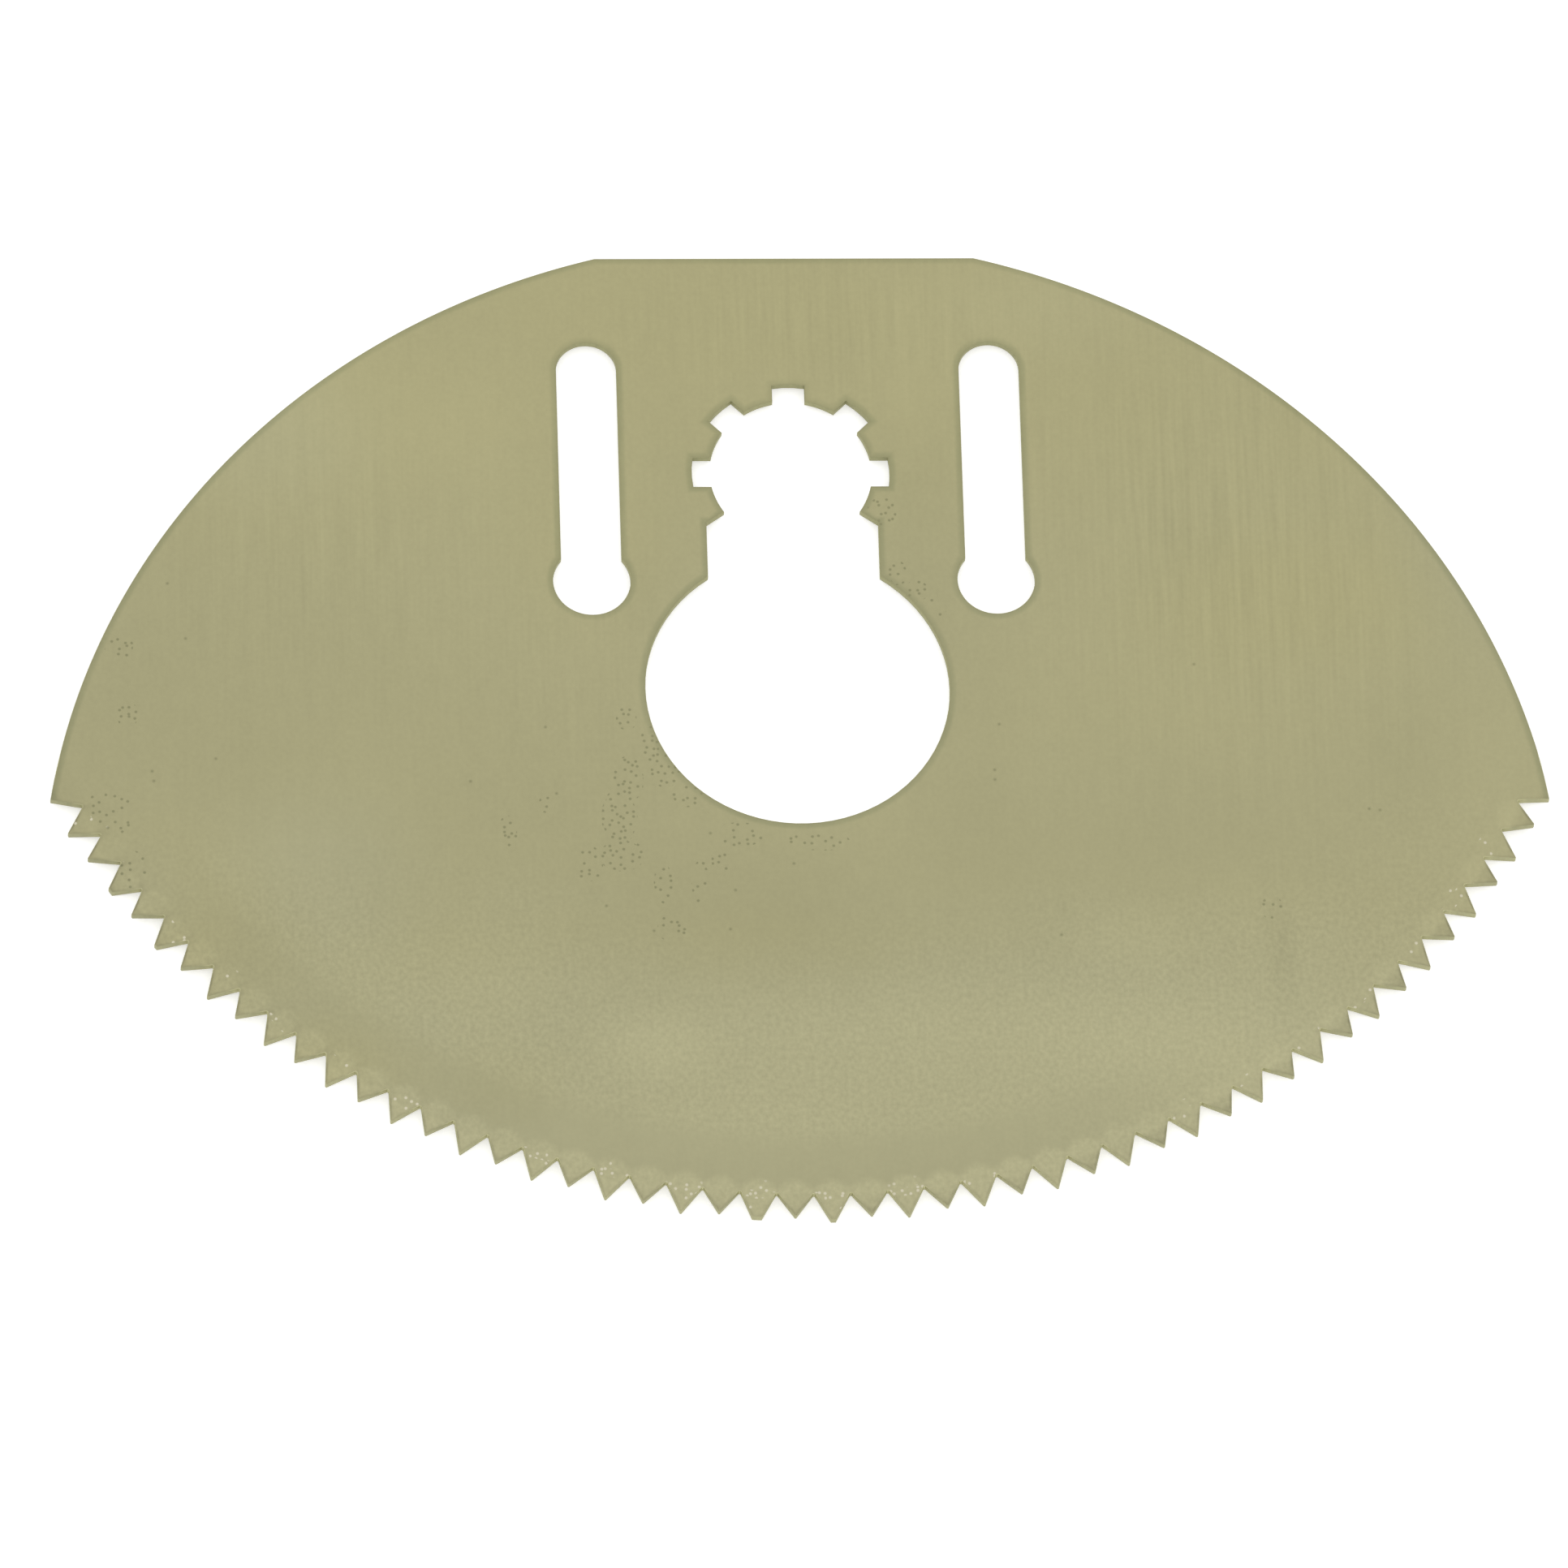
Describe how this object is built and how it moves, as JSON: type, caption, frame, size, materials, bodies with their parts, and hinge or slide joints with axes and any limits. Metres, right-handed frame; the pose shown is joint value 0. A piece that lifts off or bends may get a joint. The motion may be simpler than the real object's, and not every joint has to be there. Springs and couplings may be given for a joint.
{
  "type": "cast saw blade",
  "caption": "Flat toothed sector blade for an oscillating cast saw, with a keyhole star drive opening and two pin slots.",
  "frame": {"origin": "centre of the drive star, half way through the sheet, which is also the centre of the toothed arc", "axes": "+X along the blade from end tooth to end tooth, +Y away from the teeth to the flat top, +Z square to the sheet"},
  "size_m": [0.0964, 0.0694, 0.001],
  "materials": {
    "blade_steel": "fine straight grain across the blade, warm olive tint, dull"
  },
  "bodies": {
    "root": {"blade": "blade_steel"}
  },
  "joints": []
}
